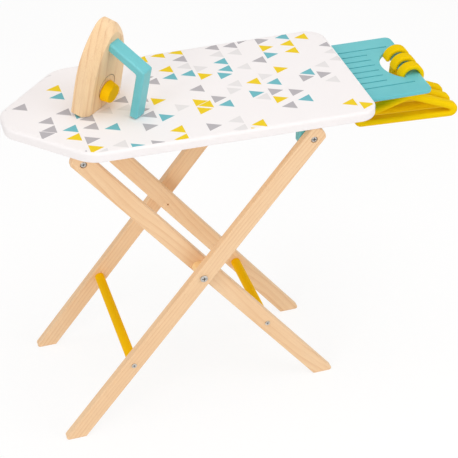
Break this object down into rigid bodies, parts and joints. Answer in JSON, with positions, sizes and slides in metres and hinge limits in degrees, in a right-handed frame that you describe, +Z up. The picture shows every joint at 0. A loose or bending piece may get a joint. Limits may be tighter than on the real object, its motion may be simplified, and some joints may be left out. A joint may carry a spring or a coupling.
{
  "type": "toy ironing board",
  "caption": "Padded toy ironing board on a folding wooden cross frame, with a slatted hanger rack, coat hangers on its bar and a wooden toy iron standing on its heel.",
  "frame": {"origin": "on the floor, under the middle of the object's box in X and Y", "axes": "+X from the board's nose to the hanger rack, +Y to the back, +Z up"},
  "size_m": [0.6686, 0.2432, 0.6389],
  "materials": {
    "printed_cloth": "white woven cotton printed with small triangles",
    "foam": "thin soft felt pad",
    "plywood": "sanded plywood",
    "bare_wood": "smooth clear-lacquered pale hardwood with straight grain",
    "teal_painted_wood": "satin teal paint on wood",
    "yellow_painted_wood": "satin yellow paint on wood",
    "steel": "bright zinc plating"
  },
  "bodies": {
    "board": {"board_core": "plywood", "board_pad": "foam", "board_cover": "printed_cloth", "hanger_rack": "teal_painted_wood", "rack_screws": "steel", "pivot_cleat_front": "teal_painted_wood", "pivot_cleat_rear": "teal_painted_wood", "rest_block_front": "bare_wood", "rest_block_rear": "bare_wood", "stop_block_front": "bare_wood", "stop_block_rear": "bare_wood", "cleat_screws": "steel", "rest_screws": "steel", "stop_screws": "steel", "pivot_bolts": "steel"},
    "outer_frame": {"outer_leg_front": "bare_wood", "outer_leg_rear": "bare_wood", "outer_lower_rail": "yellow_painted_wood", "outer_rail_screws": "steel", "crossing_bolt_front": "steel", "crossing_bolt_rear": "steel", "crossing_spacer_front": "bare_wood", "crossing_spacer_rear": "bare_wood"},
    "inner_frame": {"inner_leg_front": "bare_wood", "inner_leg_rear": "bare_wood", "crossing_nut_front": "steel", "crossing_nut_rear": "steel", "inner_lower_rail": "yellow_painted_wood", "inner_top_rail": "yellow_painted_wood", "inner_rail_screws": "steel", "top_rail_screws": "steel"},
    "hanger_front": {"coat_hanger_front": "yellow_painted_wood"},
    "hanger_middle": {"coat_hanger_middle": "yellow_painted_wood"},
    "hanger_rear": {"coat_hanger_rear": "yellow_painted_wood"},
    "iron": {"iron_body": "bare_wood", "iron_handle": "teal_painted_wood", "handle_screw": "steel", "dial_pin": "steel"},
    "dial": {"iron_dial": "yellow_painted_wood"}
  },
  "joints": [
    {"name": "frame_fold", "type": "hinge", "parent": "board", "child": "outer_frame", "pos_m": [0.07299, 0, 0.47], "axis": [0, 1, 0], "range_deg": [0, 47]},
    {"name": "scissor", "type": "hinge", "parent": "outer_frame", "child": "inner_frame", "pos_m": [-0.0851, 0, 0.26358], "axis": [0, 1, 0], "range_deg": [-94, 0]},
    {"name": "front_hanger_swing", "type": "hinge", "parent": "board", "child": "hanger_front", "pos_m": [0.25315, -0.0258, 0.492], "axis": [0, 1, 0], "range_deg": [-15, 15]},
    {"name": "middle_hanger_swing", "type": "hinge", "parent": "board", "child": "hanger_middle", "pos_m": [0.25315, 0, 0.492], "axis": [0, 1, 0], "range_deg": [-15, 15]},
    {"name": "rear_hanger_swing", "type": "hinge", "parent": "board", "child": "hanger_rear", "pos_m": [0.25315, 0.0258, 0.492], "axis": [0, 1, 0], "range_deg": [-15, 15]},
    {"name": "iron_lift", "type": "slide", "parent": "board", "child": "iron", "axis": [0, 0, 1], "range_m": [0, 0.15]},
    {"name": "dial_turn", "type": "hinge", "parent": "iron", "child": "dial", "pos_m": [-0.19103, -0.00621, 0.53161], "axis": [0.6536, -0.7324, -0.1908], "continuous": true}
  ],
  "couplings": [
    {"joint": "scissor", "follows": "frame_fold", "ratio": -2}
  ]
}
